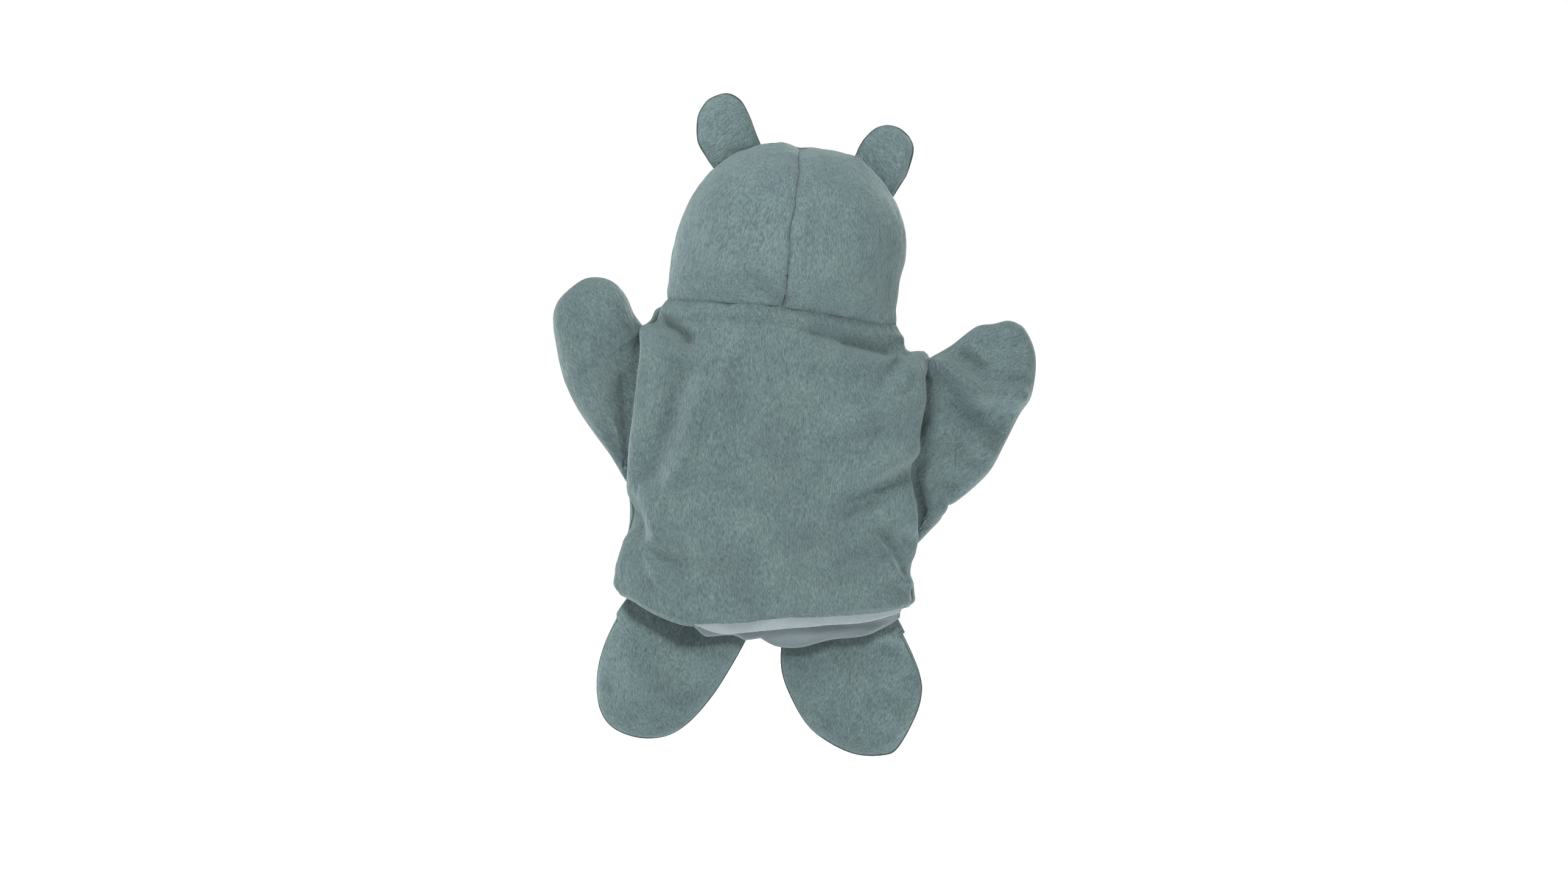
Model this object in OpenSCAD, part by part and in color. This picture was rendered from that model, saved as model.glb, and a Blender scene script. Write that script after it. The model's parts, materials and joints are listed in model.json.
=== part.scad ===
// Plush hand puppet: a lined glove body with two finger mitts, a stuffed head on an
// index-finger pocket, two ears and two stuffed legs.
// Frame, in millimetres: +Z up through the head, +Y the way the face looks, +X to the
// puppet's right. The origin is the middle of the hand opening at the hem.

/* [Body] */
// Half width of the body at the side seams
body_half_w = 60.3; // [58:0.1:64]
// Half width at the hem
hem_half_w = 62; // [60:0.5:64]
// Half depth of the chest, back to middle
chest_half_d = 25; // [24:0.5:28]
// Half depth at the hem
hem_half_d = 21; // [20:0.5:23]
// Height of the neck seam, which is also the nod axis
neck_z = 124; // [122:0.5:128]
// Half width of the neck seam
neck_half_w = 48.5; // [46:0.5:50]
// Half depth of the neck
neck_half_d = 22; // [22:0.1:23]
// Thickness of the plush with its pile
plush = 2.5; // [2:0.1:2.8]
// Thickness of the smooth lining
lining = 1; // [0.8:0.1:1.2]

/* [Head] */
// Half width of the head
head_half_w = 49; // [48:0.5:50]
// Half depth of the head without its muzzle
head_half_d = 29; // [27:0.5:31]
// Height of the head's widest level
head_wide_z = 135; // [133:0.5:137]
// From the widest level to the crown
head_rise = 60; // [57:0.5:63]
// Sideways place of the head's middle
head_x = -3; // [-3:0.5:0]
// Inner radius of the index-finger pocket
finger_r = 10.5; // [9:0.25:10.5]

/* [Face] */
// Half width of the muzzle
muzzle_half_w = 31; // [26:1:33]
// Half height of the muzzle
muzzle_half_h = 16; // [13:0.5:17]
// How far the muzzle stands out from the face
muzzle_out = 19; // [14:1:22]
// Sideways place of each eye from the middle of the face
eye_x = 17; // [13:0.5:20]
// Height of the eyes
eye_z = 170; // [168:0.5:172]
// Radius of the eye's dome
eye_r = 3.8; // [3:0.1:4.2]

/* [Limbs] */
// Half thickness of an arm
arm_half_d = 11; // [10:0.25:11]
// Half thickness of a leg
leg_half_d = 8.5; // [7:0.25:9]
// Half thickness of an ear
ear_half_d = 4.5; // [4:0.25:5]

/* [Hidden] */

plush_colour = [0.45, 0.52, 0.53];
lining_colour = [0.50, 0.58, 0.60];
binding_colour = [0.62, 0.69, 0.70];
filling_colour = [0.93, 0.93, 0.90];
dark_colour = [0.10, 0.11, 0.12];

seam_gap = 0.3;             // room left between two sewn pieces
layer_gap = 0.4;            // room left between two nested layers
corner = 2.3;               // roundness power of the body and head sections
seam_angle = 0.4;           // how near a panel's edge comes to the side seam, in degrees
arm_open_angle = [24, 34];   // the same beside an arm's mouth, on the back and on the front

back_hem_z = -6;            // the back panel hangs a little lower than the front
front_hem_z = 0;
lining_low_z = -13;         // the lining sags out of the back's hem
lining_top_z = neck_z - 10;
body_notch = [3.5, 5];      // how far the body's top edge dips at the back and front of the neck
head_notch = [5, 7];        // how far the head's lower edge rises there, so that the head can tip
notch_gap = 0.5;            // what both edges leave at the sides, where the nod axis runs
shoulder_z = neck_z - 15;
waist_z = 40;
chest_z = 80;

arm_top = 111;              // top of both arm seams
arm_low = [41, 27];         // bottom of the left and the right arm seam
arm_axis_x = 60;            // the arms flap about these upright lines
arm_base_x = 56;
arm_base_d = 9;             // half thickness of the arm's mouth, round about its axis

head_deep_z = neck_z + 28;  // level of the head's deepest section
filling_z = neck_z + 8;       // underside of the head's stuffing
crown_z = head_wide_z + head_rise;
pocket_z = neck_z - 7;      // the finger pocket's mouth
pocket_depth = 52;
pocket_wall = 1.2;
barrel_r = 18.5;            // the neck lining is round about the nod axis
barrel_half_w = 43;
muzzle_z = neck_z + 25;

leg_axis_y = 20;            // the legs swing about this line across the front hem
leg_axis_z = -8;
leg_top_r = 6.5;
ear_y = 6;                  // the ears sit just to the face side of the head's side seam
ear_base_d = 1.2;

// Cubic curves from the base to the tip of each limb, in the XZ plane, with X outwards.
arm_upper = [[[arm_base_x, 109.5], [66.5, 108.5], [76.5, 148], [98.5, 118.5]],
             [[arm_base_x, 109.5], [65, 109], [91, 148.5], [105.5, 120]]];
arm_lower = [[[arm_base_x, 41.5], [71.5, 56], [108, 89.5], [98.5, 118.5]],
             [[arm_base_x, 27.5], [76.5, 38], [115, 95], [105.5, 120]]];
leg_outer = [[[53, -1.7], [67, -21.5], [75, -62.5], [44, -65]],
             [[57, -1.7], [85, -27.5], [71.5, -62], [56, -61.5]]];
leg_inner = [[[0, -1.7], [9, -31], [19.5, -65], [44, -65]],
             [[12.5, -1.7], [8.5, -38], [34, -62.5], [56, -61.5]]];
ear_outer = [[[40.5, 183.6], [56.5, 198.5], [44, 212.5], [39.5, 214]],
             [[40, 180.6], [45.5, 193.5], [46.5, 204], [36.5, 207.5]]];
ear_inner = [[[22.2, 196.4], [28, 207.5], [29.5, 214], [39.5, 214]],
             [[22, 196.4], [24, 201], [32, 210], [36.5, 207.5]]];

// ---- helpers -------------------------------------------------------------------

function mix(a, b, t) = a + (b - a) * t;
function smooth(t) = let (c = max(0, min(1, t))) c * c * (3 - 2 * c);
function spow(v, p) = sign(v) * pow(abs(v), p);
function round_off(t, p) = pow(max(0, 1 - pow(abs(t), p)), 1 / p);
function curve(p, t) =
    pow(1 - t, 3) * p[0] + 3 * pow(1 - t, 2) * t * p[1] + 3 * (1 - t) * t * t * p[2] + pow(t, 3) * p[3];

// A closed solid between two grids of points that have the same rows and columns.
module sheet(near, far) {
    rows = len(near);
    cols = len(near[0]);
    n = rows * cols;
    function at(i, j, k) = k * n + i * cols + j;
    near_faces = [for (i = [0:rows - 2], j = [0:cols - 2])
        each [[at(i, j, 0), at(i, j + 1, 0), at(i + 1, j + 1, 0)],
              [at(i, j, 0), at(i + 1, j + 1, 0), at(i + 1, j, 0)]]];
    far_faces = [for (i = [0:rows - 2], j = [0:cols - 2])
        each [[at(i, j, 1), at(i + 1, j + 1, 1), at(i, j + 1, 1)],
              [at(i, j, 1), at(i + 1, j, 1), at(i + 1, j + 1, 1)]]];
    rim = concat(
        [for (j = [0:cols - 1]) [0, j]], [for (i = [1:rows - 1]) [i, cols - 1]],
        [for (j = [1:cols - 1]) [rows - 1, cols - 1 - j]], [for (i = [1:rows - 2]) [rows - 1 - i, 0]]);
    rim_faces = [for (k = [0:len(rim) - 1]) let (a = rim[k], b = rim[(k + 1) % len(rim)])
        each [[at(b.x, b.y, 0), at(a.x, a.y, 0), at(a.x, a.y, 1)],
              [at(b.x, b.y, 0), at(a.x, a.y, 1), at(b.x, b.y, 1)]]];
    polyhedron([each each near, each each far], concat(near_faces, far_faces, rim_faces), convexity = 6);
}

// A closed solid through a stack of rings of points.
module stack(rings) {
    rows = len(rings);
    n = len(rings[0]);
    sides = [for (i = [0:rows - 2], j = [0:n - 1]) let (k = (j + 1) % n)
        each [[i * n + j, (i + 1) * n + k, i * n + k], [i * n + j, (i + 1) * n + j, (i + 1) * n + k]]];
    bottom = [[for (j = [0:n - 1]) j]];
    top = [[for (j = [0:n - 1]) (rows - 1) * n + n - 1 - j]];
    polyhedron([each each rings], concat(sides, bottom, top), convexity = 6);
}

// A point of a rounded section; angle 0 is +X and 90 is +Y.
function rounded(x, w, d, z, a) = [x + w * spow(cos(a), 2 / corner), d * spow(sin(a), 2 / corner), z];
// How far towards the front or the back of its section an angle lies, from 0 to 1.
function depth_share(a) = pow(abs(sin(a)), 2 / corner);
// The entry of a [back, front] pair for an angle.
function by_side(pair, a) = sin(a) > 0 ? pair[1] : pair[0];

// ---- body ----------------------------------------------------------------------

function body_w(z) = z > shoulder_z
    ? mix(body_half_w, neck_half_w, pow((z - shoulder_z) / (neck_z - shoulder_z), 0.7))
    : mix(body_half_w, hem_half_w, smooth((waist_z - z) / waist_z));
function body_d(z) = z > chest_z
    ? mix(chest_half_d, neck_half_d, smooth((z - chest_z) / (neck_z - chest_z)))
    : mix(chest_half_d, hem_half_d, smooth((chest_z - z) / chest_z));

// The levels of a body panel: closer together where the arm openings begin and end.
function body_levels(low, high) =
    let (between = [5, arm_low[1] - 6, arm_low[1] - 1, arm_low[0] - 6, arm_low[0] - 1,
                    53, 66, 78, 90, 101, arm_top + 1, lining_top_z, arm_top + 6])
    concat([low], [for (z = between) if (z > low + 1 && z < high - 1) z], [high]);
function edge_angle(z, low, open) =
    let (below = (z - (low - 6)) / 5, above = (arm_top + 6 - z) / 5)
    mix(seam_angle, open, max(0, min(1, below, above)));
// The body's top edge dips towards the front and the back of the neck.
function body_top(a) = neck_z - notch_gap - by_side(body_notch, a) * depth_share(a);

// One side of the body: side is 1 for the front and -1 for the back.
function body_grid(side, low, high, inset, cols = 16) =
    let (open = by_side(arm_open_angle, 90 * side))
    [for (z = body_levels(low, high))
        let (from = edge_angle(z, arm_low[1], open), to = 180 - edge_angle(z, arm_low[0], open))
        [for (j = [0:cols]) let (a = side * mix(from, to, j / cols), level = min(z, body_top(a)))
            rounded(0, body_w(level) - inset, body_d(level) - inset, level, a)]];
module body_layer(side, low, high, inset, thick) {
    outer = body_grid(side, low, high, inset);
    inner = body_grid(side, low, high, inset + thick);
    if (side > 0) sheet(outer, inner); else sheet(inner, outer);
}

module body_back_panel() color(plush_colour) body_layer(-1, back_hem_z, neck_z, 0, plush);
module body_front_panel() color(plush_colour) body_layer(1, front_hem_z, neck_z, 0, plush);
module lining_back()
    color(lining_colour) body_layer(-1, lining_low_z, lining_top_z, plush + layer_gap, lining);
module lining_front()
    color(lining_colour) body_layer(1, front_hem_z, lining_top_z, plush + layer_gap, lining);

// The light knit binding that shows below the back panel's hem.
module hem_binding() {
    height = 5;
    z = [back_hem_z - seam_gap - height, back_hem_z - seam_gap];
    function band(inset) = [for (level = z) [for (j = [0:16])
        rounded(0, hem_half_w - inset, hem_half_d - inset, level, -mix(14, 166, j / 16))]];
    color(binding_colour) sheet(band(0.8 + 1.2), band(0.8));
}

// ---- head ----------------------------------------------------------------------

function head_w(z, inset) =
    (head_half_w - inset) * round_off((z - head_wide_z) / (head_rise - inset), 2.5);
function head_d(z, inset) = z > head_deep_z
    ? (head_half_d - inset) * round_off((z - head_deep_z) / (crown_z - inset - head_deep_z), 2.3)
    : mix(neck_half_d, head_half_d, smooth((z - neck_z) / (head_deep_z - neck_z))) - inset;
function head_level(i, rows, low, inset) = mix(low, crown_z - inset - 0.005, sin(90 * i / rows));
// The head's lower edge rises towards the front and the back of the neck.
function head_low(a) = neck_z + notch_gap + by_side(head_notch, a) * depth_share(a);
function head_grid(inset, from, to, cols, rows = 11) =
    [for (i = [0:rows]) [for (j = [0:cols])
        let (a = mix(from, to, j / cols), z = head_level(i, rows, head_low(a), inset))
        rounded(head_x, head_w(z, inset), head_d(z, inset), z, a)]];
module head_layer(from, to, cols)
    sheet(head_grid(0, from, to, cols), head_grid(plush, from, to, cols));

// The head's outer surface towards +Y at a place on the face.
function face_y(x, z) = head_d(z, 0) * round_off((x - head_x) / head_w(z, 0), corner);

module head_back_left_panel() color(plush_colour) head_layer(180.4, 269.7, 9);
module head_back_right_panel() color(plush_colour) head_layer(270.3, 359.6, 9);
module face_panel() color(plush_colour) difference() {
    head_layer(0.4, 179.6, 18);
    for (side = [-1, 1]) eye_axis(side) cylinder(r = 1.5, h = 30, center = true, $fn = 24);
}

// The line on which an eye's shank stands, with +Z square out of the face.
module eye_axis(side) {
    x = head_x + side * eye_x;
    y = face_y(x, eye_z);
    along_x = (face_y(x + 1, eye_z) - face_y(x - 1, eye_z)) / 2;
    along_z = (face_y(x, eye_z + 1) - face_y(x, eye_z - 1)) / 2;
    out = [-along_x, 1, -along_z];
    translate([x, y, eye_z]) rotate([0, acos(out.z / norm(out)), atan2(out.y, out.x)]) children();
}
module eye(side) color(dark_colour) eye_axis(side) {
    translate([0, 0, 0.9]) difference() {
        sphere(r = eye_r, $fn = 32);
        translate([0, 0, -eye_r]) cube([3 * eye_r, 3 * eye_r, 2 * eye_r], center = true);
    }
    translate([0, 0, -6.5]) cylinder(r = 1.2, h = 7.5, $fn = 24);
}
module eye_washer(side) color(dark_colour) eye_axis(side) translate([0, 0, -5]) difference() {
    cylinder(r = 4.6, h = 1.1, $fn = 36);
    translate([0, 0, -1]) cylinder(r = 1.25, h = 3, $fn = 24);
}

module head_stuffing() color(filling_colour) difference() {
    inset = plush + layer_gap;
    stack([for (i = [0:11]) let (z = head_level(i, 11, filling_z, inset))
        [for (j = [0:35]) rounded(head_x, head_w(z, inset), head_d(z, inset), z, 10 * j)]]);
    translate([head_x, 0, 0])
        cylinder(r = finger_r + pocket_wall + layer_gap, h = pocket_z + pocket_depth + layer_gap, $fn = 60);
    for (side = [-1, 1]) eye_axis(side) translate([0, 0, -8]) cylinder(r = 5.2, h = 9, $fn = 36);
}

module finger_pocket() color(lining_colour) translate([head_x, 0, pocket_z]) difference() {
    cylinder(r = finger_r + pocket_wall, h = pocket_depth, $fn = 72);
    translate([0, 0, -1]) cylinder(r = finger_r, h = pocket_depth - pocket_wall + 1, $fn = 72);
}

// The lining where it crosses the neck, round about the nod axis: one arc in front, one behind.
module neck_lining() {
    function arc_r(x, inset) = (barrel_r - inset) * round_off(x / barrel_half_w, corner);
    places = [for (i = [-7:7]) barrel_half_w * 0.9 * i / 7];
    profile = concat([for (x = places) [arc_r(x, 0), x]],
                     [for (i = [0:14]) let (x = places[14 - i]) [arc_r(x, 1.4), x]]);
    color(lining_colour) translate([0, 0, neck_z]) rotate([0, 90, 0])
        for (span = [[72, 40], [-112, 46]])
            rotate([0, 0, span[0]]) rotate_extrude(angle = span[1], $fn = 72) polygon(profile);
}

// ---- muzzle --------------------------------------------------------------------

// A dome over the face: reach is its share of the muzzle's outline, out its height.
function muzzle_grid(reach, out, base, rows = 7, cols = 32) =
    [for (i = [0:rows]) let (r = sin(90 * i / rows)) [for (j = [0:cols]) let (a = 360 * j / cols,
        x = head_x + max(r, 0.03) * reach * muzzle_half_w * spow(cos(a), 0.85),
        z = muzzle_z + max(r, 0.03) * reach * muzzle_half_h * spow(sin(a), 0.85))
        [x, face_y(x, z) + base + out * round_off(r, 2.4), z]]];
function without_last(rows) = [for (row = rows) [for (j = [0:len(row) - 2]) row[j]]];

module muzzle_cover() color(plush_colour) {
    reach_in = 1 - plush / muzzle_half_h;
    outer = without_last(muzzle_grid(1, muzzle_out, layer_gap));
    inner = without_last(muzzle_grid(reach_in, muzzle_out - plush, layer_gap));
    rows = len(outer);
    stack(concat([for (i = [0:rows - 1]) outer[i]], [for (i = [0:rows - 1]) inner[rows - 1 - i]]));
}
module muzzle_stuffing() color(filling_colour) {
    reach_in = 1 - (plush + 2 * layer_gap) / muzzle_half_h;
    dome = without_last(muzzle_grid(reach_in, muzzle_out - plush - 2 * layer_gap, 2 * layer_gap));
    foot = without_last(muzzle_grid(reach_in, 0, layer_gap));
    rows = len(dome);
    stack(concat([for (i = [0:rows - 1]) dome[i]], [for (i = [0:rows - 1]) foot[rows - 1 - i]]));
}

// The muzzle's outer surface above the face.
function muzzle_y(x, z) = face_y(x, z) + layer_gap
    + muzzle_out * round_off(norm([(x - head_x) / muzzle_half_w, (z - muzzle_z) / muzzle_half_h]), 2.4);
module nostril_stitching() color(dark_colour) for (side = [-1, 1])
    translate([head_x + side * 10, muzzle_y(head_x + side * 10, muzzle_z + 6) + 1.1, muzzle_z + 6])
        rotate([-90, 0, 0]) cylinder(r = 2.6, h = 0.8, $fn = 24);
module mouth_stitching() {
    half = 17;
    function line(dz, dy) = [for (i = [-8:8]) let (x = head_x + half * i / 8, z = muzzle_z - 7 + 3 * pow(i / 8, 2))
        [x, muzzle_y(x, z) + 0.6 + dy, z + dz]];
    color(dark_colour) sheet([line(-0.6, 0.8), line(0.6, 0.8)], [line(-0.6, 0), line(0.6, 0)]);
}

// ---- limbs ---------------------------------------------------------------------

// One side of a pillow between two curves: k is 0 for the left limb and 1 for the right,
// side is 1 for its front and -1 for its back, and shrink pulls it in towards a point.
function limb_grid(rail_a, rail_b, k, side, depths, y, middle, shrink, cols) =
    let (out = k == 0 ? -1 : 1, rows = len(depths) - 1)
    [for (i = [0:rows]) let (t = 0.995 * (1 - pow(1 - i / rows, 1.5)), a = curve(rail_a, t), b = curve(rail_b, t))
        [for (j = [0:cols]) let (v = -cos(180 * j / cols), p = mix(a, b, (1 + v) / 2),
            q = middle + [(p.x - middle.x) * shrink.x, (p.y - middle.y) * shrink.x])
            [out * q.x, y + side * (seam_gap / 2 + depths[i] * shrink.y * round_off(v, 2.2)), q.y]]];
module limb_side(rail_a, rail_b, k, side, depths, y, middle, outer, inner, cols = 12) {
    far = limb_grid(rail_a, rail_b, k, side, depths, y, middle, outer, cols);
    near = limb_grid(rail_a, rail_b, k, side, depths, y, middle, inner, cols);
    turned = (k == 0) == (side > 0);
    if (turned) sheet(far, near); else sheet(near, far);
}
module limb_filling(rail_a, rail_b, k, depths, y, middle, outer, cols = 12) {
    front = limb_grid(rail_a, rail_b, k, 1, depths, y, middle, outer, cols);
    back = limb_grid(rail_a, rail_b, k, -1, depths, y, middle, outer, cols);
    if (k == 0) sheet(front, back); else sheet(back, front);
}
// How much a layer shrinks a limb of these half sizes when it lies this deep inside.
function shrunk(inset, half_w, half_d) = [1 - inset / half_w, 1 - inset / half_d];

function row_t(i, rows) = 1 - pow(1 - i / rows, 1.5);
arm_depths = [for (i = [0:12]) let (t = row_t(i, 12))
    mix(arm_base_d, arm_half_d, smooth(8 * t)) * pow(max(0.02, 1 - pow(t, 3)), 0.45)];
leg_depths = [for (i = [0:12]) let (t = row_t(i, 12), z = curve(leg_outer[0], t).y - leg_axis_z)
    (z > 0 ? sqrt(max(1, leg_top_r * leg_top_r - z * z))
           : mix(leg_top_r, leg_half_d, smooth(-z / 20)) * pow(max(0.02, 1 - pow(t, 3)), 0.45))];
ear_depths = [for (i = [0:8]) let (t = row_t(i, 8))
    mix(ear_base_d, ear_half_d, smooth(3 * t)) * pow(max(0.03, 1 - pow(t, 3)), 0.45)];

module arm(k, side, outer, inner)
    limb_side(arm_upper[k], arm_lower[k], k, side, arm_depths, 0, [arm_base_x, 80],
              shrunk(outer, 28, arm_half_d), shrunk(inner, 28, arm_half_d));
module arm_panel(k, side) color(plush_colour) arm(k, side, 0, plush);
module arm_lining(k, side) color(lining_colour) arm(k, side, plush + layer_gap, plush + layer_gap + lining);

module leg_panel(k, side) color(plush_colour)
    limb_side(leg_inner[k], leg_outer[k], k, side, leg_depths, leg_axis_y, [36 + 8 * k, -30],
              [1, 1], shrunk(plush, 24, leg_half_d));
module leg_stuffing(k) color(filling_colour)
    limb_filling(leg_inner[k], leg_outer[k], k, leg_depths, leg_axis_y, [36 + 8 * k, -30],
                 shrunk(plush + layer_gap, 24, leg_half_d));

ear_cloth = 1.6;
ear_middle = [[38, 200], [35, 196]];
module ear_panel(k, side) color(plush_colour)
    limb_side(ear_outer[k], ear_inner[k], k, side, ear_depths, ear_y, ear_middle[k],
              [1, 1], shrunk(ear_cloth, 11, ear_half_d), 10);
module ear_padding(k) color(filling_colour)
    limb_filling(ear_outer[k], ear_inner[k], k, ear_depths, ear_y, ear_middle[k],
                 shrunk(ear_cloth + layer_gap, 11, ear_half_d), 10);

// ---- nodes ---------------------------------------------------------------------

body_back_panel();
body_front_panel();
lining_back();
lining_front();
hem_binding();
head_back_left_panel();
head_back_right_panel();
face_panel();
head_stuffing();
finger_pocket();
neck_lining();
muzzle_cover();
muzzle_stuffing();
nostril_stitching();
mouth_stitching();
eye(-1);  // eye_left
eye(1);  // eye_right
eye_washer(-1);  // eye_washer_left
eye_washer(1);  // eye_washer_right
ear_panel(0, -1);  // ear_left_back
ear_panel(0, 1);  // ear_left_front
ear_padding(0);  // ear_left_padding
ear_panel(1, -1);  // ear_right_back
ear_panel(1, 1);  // ear_right_front
ear_padding(1);  // ear_right_padding
arm_panel(0, -1);  // arm_left_back
arm_panel(0, 1);  // arm_left_front
arm_lining(0, -1);  // arm_left_lining_back
arm_lining(0, 1);  // arm_left_lining_front
arm_panel(1, -1);  // arm_right_back
arm_panel(1, 1);  // arm_right_front
arm_lining(1, -1);  // arm_right_lining_back
arm_lining(1, 1);  // arm_right_lining_front
leg_panel(0, -1);  // leg_left_back
leg_panel(0, 1);  // leg_left_front
leg_stuffing(0);  // leg_left_stuffing
leg_panel(1, -1);  // leg_right_back
leg_panel(1, 1);  // leg_right_front
leg_stuffing(1);  // leg_right_stuffing
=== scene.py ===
"""Looks for the plush hand puppet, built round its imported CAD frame. Shapes are worked out in millimetres
in the row frame (+X the puppet's right, +Y the way the face looks, +Z up) and scaled to metres at the end."""
import json
import math

import bmesh
import bpy
import numpy as np
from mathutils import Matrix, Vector


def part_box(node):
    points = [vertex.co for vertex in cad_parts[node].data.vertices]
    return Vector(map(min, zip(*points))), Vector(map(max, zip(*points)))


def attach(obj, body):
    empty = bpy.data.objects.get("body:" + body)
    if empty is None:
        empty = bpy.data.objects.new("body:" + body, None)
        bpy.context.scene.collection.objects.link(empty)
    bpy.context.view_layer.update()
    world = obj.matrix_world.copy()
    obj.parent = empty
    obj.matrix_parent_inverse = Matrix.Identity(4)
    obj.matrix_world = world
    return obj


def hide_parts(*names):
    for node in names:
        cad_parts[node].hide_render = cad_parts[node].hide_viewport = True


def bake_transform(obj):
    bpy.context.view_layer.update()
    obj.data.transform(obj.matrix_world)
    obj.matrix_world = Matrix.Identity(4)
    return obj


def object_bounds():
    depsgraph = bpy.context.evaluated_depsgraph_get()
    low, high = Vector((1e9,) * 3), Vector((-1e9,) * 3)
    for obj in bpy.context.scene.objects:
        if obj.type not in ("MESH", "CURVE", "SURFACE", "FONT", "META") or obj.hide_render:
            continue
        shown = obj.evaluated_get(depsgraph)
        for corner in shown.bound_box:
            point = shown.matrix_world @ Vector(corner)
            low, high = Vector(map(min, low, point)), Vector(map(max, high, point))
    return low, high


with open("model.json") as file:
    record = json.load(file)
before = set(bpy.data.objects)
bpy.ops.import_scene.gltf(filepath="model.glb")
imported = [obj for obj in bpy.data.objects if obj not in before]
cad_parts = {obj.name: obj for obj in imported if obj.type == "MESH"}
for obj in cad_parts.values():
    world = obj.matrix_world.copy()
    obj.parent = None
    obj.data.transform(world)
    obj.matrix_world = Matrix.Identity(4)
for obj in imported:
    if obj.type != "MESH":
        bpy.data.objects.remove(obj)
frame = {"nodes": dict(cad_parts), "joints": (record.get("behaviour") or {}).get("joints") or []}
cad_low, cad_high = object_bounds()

MM = 0.001
JOINTS = {j["name"]: j for j in frame["joints"]}
NECK_Z = JOINTS["head_nod"]["pos_m"][2] / MM
LEG_Y = JOINTS["leg_left_swing"]["pos_m"][1] / MM
FOLD_GAIN = 2.4      # folds are this much higher than their tables say
FOLD_SPREAD = 1.25   # and this much wider
SIDES = (("left", -1), ("right", 1))


def table(text):
    """Rows of numbers, with commas between the rows."""
    return [[float(v) for v in row.split()] for row in text.split(",")]


# Outlines are points in thousandths of a CAD node's box, counted from its low corner.
# Side seams of the body, as (height, x) in the back panel's box.
BODY_LEFT = table("""
    -100 60, -15 44, 31 16, 85 6, 139 14, 201 27, 263 37, 324 30, 402 14, 510 10, 641 10, 780 11, 865 6, 904 8,
    939 36, 973 68, 1008 79, 1030 79
""")
BODY_RIGHT = table("""
    -100 985, -15 1012, 54 1026, 93 1032, 147 1027, 193 1011, 263 1016, 317 1019, 417 1000, 494 982, 603 981, 711 985,
    796 985, 873 981, 900 972, 921 919, 942 890, 973 873, 1008 863, 1030 863
""")
# The back hem and the lining's lowest edge, as (x, height) in the same box.
BACK_HEM = table("""
    -50 45, 0 39, 36 12, 82 -4, 124 -22, 189 -42, 268 -56, 359 -46, 511 -19, 662 12, 814 37, 965 63, 1032 85, 1100 90
""")
LINING_HEM = table("""
    -50 30, 32 12, 65 -15, 152 -54, 221 -85, 263 -96, 319 -90, 429 -70, 472 -85, 535 -70, 560 -87, 602 -94, 681 -81,
    765 -46, 876 -24, 960 22, 1008 54, 1100 80
""")
# Sides of the head, as (height, x) in the face panel's box, and its crown, as (x, height).
HEAD_LEFT = table("""
    -79 2, -8 -1, 77 -3, 262 -6, 404 3, 517 24, 624 51, 723 90, 808 137, 898 214, 943 281, 970 327, 991 372, 1003 410
""")
HEAD_RIGHT = table("""
    -79 992, -8 992, 91 985, 233 986, 404 995, 517 989, 624 970, 730 930, 837 867, 915 806, 966 750, 984 694, 1003 620
""")
CROWN = table("""
    380 998, 410 1003, 460 992, 500 981, 550 988, 600 992, 660 988
""")
# Limb outlines, as (x, height) in the box of each limb's back panel.
ARM_EDGE = {
    "left": table("""
        886 790, 859 799, 773 849, 690 920, 570 979, 430 1002, 260 987, 115 925, 26 862, -5 790, 35 687, 145 516,
        308 374, 505 255, 695 150, 865 40, 890 28
    """),
    "right": table("""
        100 811, 120 821, 265 875, 414 946, 491 973, 599 986, 711 1006, 805 999, 880 973, 968 898, 1000 808, 982 698,
        907 625, 813 501, 727 392, 599 305, 452 231, 381 208, 353 158, 275 105, 187 49, 160 35
    """),
}
LEG_EDGE = {
    "left": table("""
        210 1090, 198 1012, 160 940, 98 812, 28 607, 3 393, 41 180, 144 50, 324 0, 506 33, 645 142, 774 330, 870 528,
        958 746, 1010 930, 1020 1012, 1000 1090
    """),
    "right": table("""
        20 1090, -10 1012, -12 900, -5 794, 15 567, 92 383, 243 174, 414 62, 611 0, 800 14, 905 80, 1006 326,
        1030 500, 1000 630, 940 744, 790 985, 770 1012, 730 1090
    """),
}
EAR_EDGE = {
    "left": table("""
        385 -112, 200 70, 30 283, -16 592, 50 780, 168 908, 423 1000, 656 924, 832 714, 960 500, 1084 309
    """),
    "right": table("""
        -100 470, -35 625, 60 775, 235 935, 455 1010, 680 990, 852 907, 970 790, 1015 662, 990 460, 943 271, 820 50,
        703 -135
    """),
}
# Folds: (x0, z0, x1, z1) in thousandths of the piece's box, then width and height in mm.
BACK_FOLDS = table("""
    48 935 153 873 4.5 -2.6, 97 850 194 811 7 0.8, 600 945 720 925 4.5 -0.8, 700 925 840 915 4 -1.4,
    613 854 774 861 5 0.9, 855 819 905 890 4.5 -1, 903 819 952 896 5 1, 97 448 169 757 7 -1.5, 177 433 234 695 6 1.2,
    345 796 362 652 7 -0.9, 290 726 339 850 6 0.7, 782 371 847 417 5 -1.2, 806 433 968 533 5.5 -1.3,
    823 479 952 587 6 0.9, 742 649 935 757 6 0.8, 710 603 855 664 5 -0.6, 40 286 65 239 5 -1.8, 97 340 145 232 6 1,
    81 139 129 62 4 -1.3, 137 170 226 139 5 -1.2, 129 93 210 70 5 0.7, 903 317 992 209 4 -1.2,
    855 278 935 216 5.5 0.9, 952 154 1024 124 6 -1, 661 139 887 154 9 -0.8, 452 93 532 46 9 -0.8,
    742 216 903 247 7 0.7, 306 386 387 355 10 -0.8, 452 556 565 510 12 0.6, 419 232 516 309 12 0.6,
    250 115 470 130 9 -0.7, 700 240 850 220 9 -0.8, 520 530 600 470 9 -0.6
""")
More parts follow.
